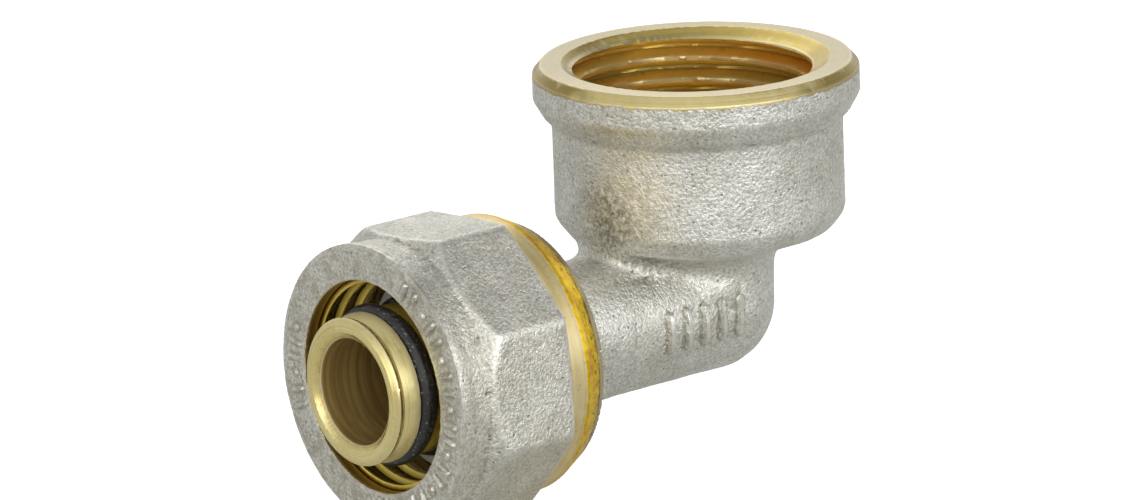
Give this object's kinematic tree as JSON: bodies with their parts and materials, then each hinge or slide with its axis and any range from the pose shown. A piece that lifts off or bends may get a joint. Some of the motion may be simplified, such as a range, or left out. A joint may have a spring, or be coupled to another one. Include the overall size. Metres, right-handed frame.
{
  "type": "compression fitting",
  "caption": "Elbow compression fitting: octagonal union nut and split ring on a 16 mm pipe insert, at right angles to a beaded G1/2 female socket.",
  "frame": {"origin": "centre of the female socket's mouth plane", "axes": "+Z out of the female socket along its thread axis; the pipe port points along -Y, with its axis 19.9 mm below the mouth; +X completes the right-handed frame"},
  "size_m": [0.0262, 0.0491, 0.0316],
  "materials": {
    "nickel_brass": "sand-blasted nickel plate over brass; rims, thread and insert machined bare",
    "nickel_nut": "sand-blasted nickel plate over brass; mouth, rear band and chamfer machined bare",
    "bare_brass": "turned bare brass",
    "seal_rubber": "black EPDM, slightly glossy",
    "washer_plastic": "natural PTFE, matte"
  },
  "bodies": {
    "elbow": {"elbow_body": "nickel_brass", "front_o_ring": "seal_rubber", "rear_o_ring": "seal_rubber", "insulating_washer": "washer_plastic"},
    "ring": {"compression_ring": "bare_brass"},
    "nut": {"octagonal_nut": "nickel_nut"}
  },
  "joints": [
    {"name": "nut_travel", "type": "slide", "parent": "elbow", "child": "ring", "axis": [0, -1, 0], "range_m": [0, 0.0075]},
    {"name": "nut_turn", "type": "hinge", "parent": "ring", "child": "nut", "pos_m": [0, -0.0264, -0.0199], "axis": [0, -1, 0], "range_deg": [0, 1800.5]}
  ],
  "couplings": [
    {"joint": "nut_turn", "follows": "nut_travel", "rad_per_m": 4188.8}
  ]
}
